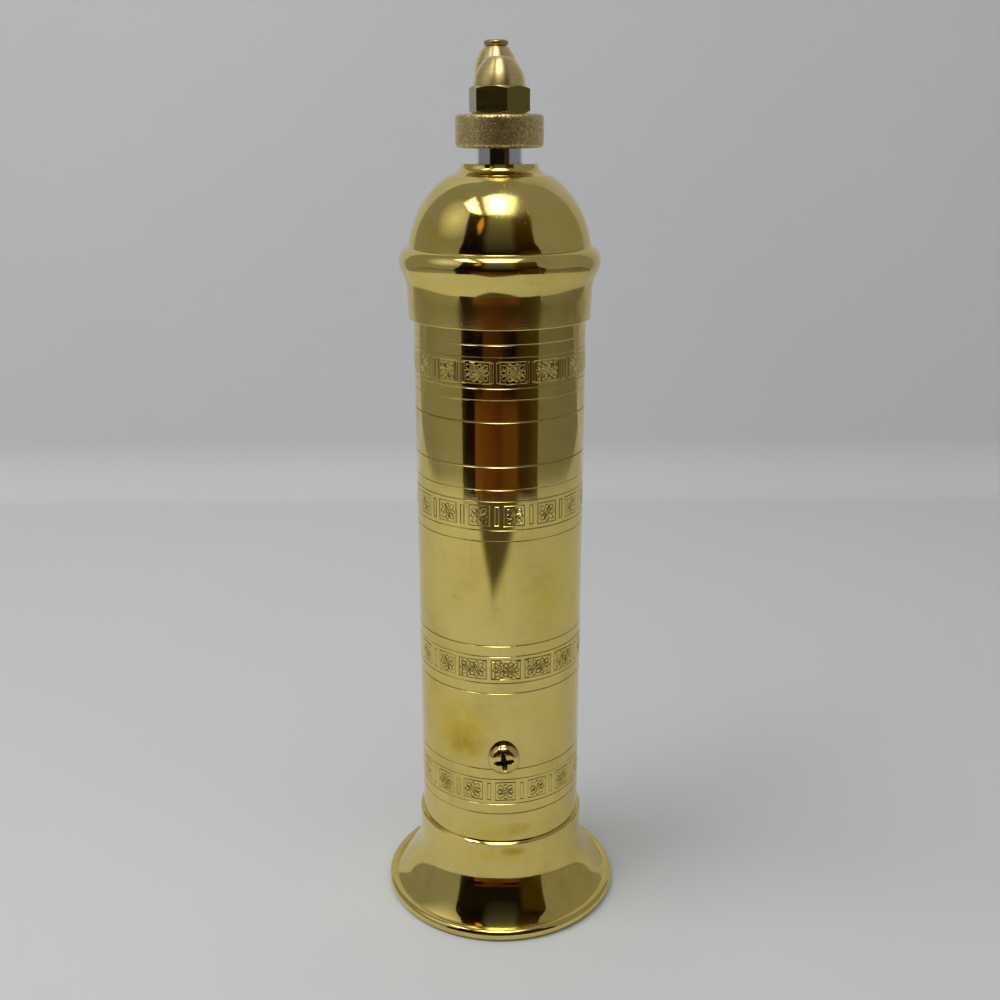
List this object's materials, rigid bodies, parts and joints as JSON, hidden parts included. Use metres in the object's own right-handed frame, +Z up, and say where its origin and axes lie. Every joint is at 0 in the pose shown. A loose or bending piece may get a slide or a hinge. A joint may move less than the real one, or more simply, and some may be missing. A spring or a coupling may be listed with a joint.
{
  "type": "pepper mill",
  "caption": "Tall cylindrical brass pepper mill with a flared foot, lift-off domed cap, crank arm with turning knob, and an adjustable burr mill inside.",
  "frame": {"origin": "on the table, on the axis of the tube", "axes": "+Z up along the tube's axis; +Y the way the crank arm points at rest; -Y the side with the front side screw"},
  "size_m": [0.0636, 0.0963, 0.2288],
  "materials": {
    "polished_brass": "mirror polished, fine swirl scratches and faint tarnish",
    "cast_brass": "sand-cast and tumbled, matt and grainy",
    "turned_brass": "turned, satin with fine turning lines",
    "machined_brass": "machined, satin",
    "screw_brass": "polished screw heads",
    "polished_steel": "ground and polished",
    "machined_steel": "machined, satin",
    "burr_steel": "hardened, dark, cut teeth",
    "spring_steel": "drawn wire, dark grey",
    "cast_zinc": "die cast, fine grain",
    "zinc_plated": "bright zinc plate"
  },
  "bodies": {
    "body": {"body_tube": "polished_brass", "foot": "polished_brass", "burr_housing": "cast_zinc", "outer_burr": "burr_steel", "side_screws": "screw_brass", "bridge": "cast_zinc", "bridge_screws": "zinc_plated", "adjust_spring": "spring_steel"},
    "thrust_seat": {"thrust_washer": "machined_steel"},
    "adjuster": {"adjust_screw": "machined_steel", "adjust_knob": "machined_brass"},
    "turning_burr": {"inner_burr": "burr_steel", "burr_spindle": "machined_steel"},
    "cap": {"cap_dome": "polished_brass", "neck_bush": "machined_brass"},
    "crank": {"drive_shaft": "machined_steel", "shaft_sleeve": "polished_steel", "sleeve_pin": "machined_steel", "shaft_circlip": "spring_steel", "crank_arm": "cast_brass", "acorn_nut": "turned_brass", "knob_pin": "turned_brass", "knob_washer": "machined_brass"},
    "knob": {"crank_knob": "turned_brass"}
  },
  "joints": [
    {"name": "burr_lift", "type": "slide", "parent": "body", "child": "thrust_seat", "axis": [0, 0, 1], "range_m": [-0.001, 0.001], "deforming": ["adjust_spring"]},
    {"name": "adjust_turn", "type": "hinge", "parent": "thrust_seat", "child": "adjuster", "pos_m": [0, 0, 0.0165], "axis": [0, 0, 1], "range_deg": [-360, 360]},
    {"name": "burr_spin", "type": "hinge", "parent": "thrust_seat", "child": "turning_burr", "pos_m": [0, 0, 0.0505], "axis": [0, 0, 1], "continuous": true},
    {"name": "cap_lift", "type": "slide", "parent": "body", "child": "cap", "axis": [0, 0, 1], "range_m": [0, 0.125]},
    {"name": "crank_spin", "type": "hinge", "parent": "cap", "child": "crank", "pos_m": [0, 0, 0.19], "axis": [0, 0, 1], "continuous": true},
    {"name": "knob_spin", "type": "hinge", "parent": "crank", "child": "knob", "pos_m": [0, 0.058, 0.2185], "axis": [0, 0, 1], "continuous": true}
  ],
  "couplings": [
    {"joint": "adjust_turn", "follows": "burr_lift", "rad_per_m": 6283.2},
    {"joint": "burr_spin", "follows": "crank_spin", "ratio": 1}
  ]
}
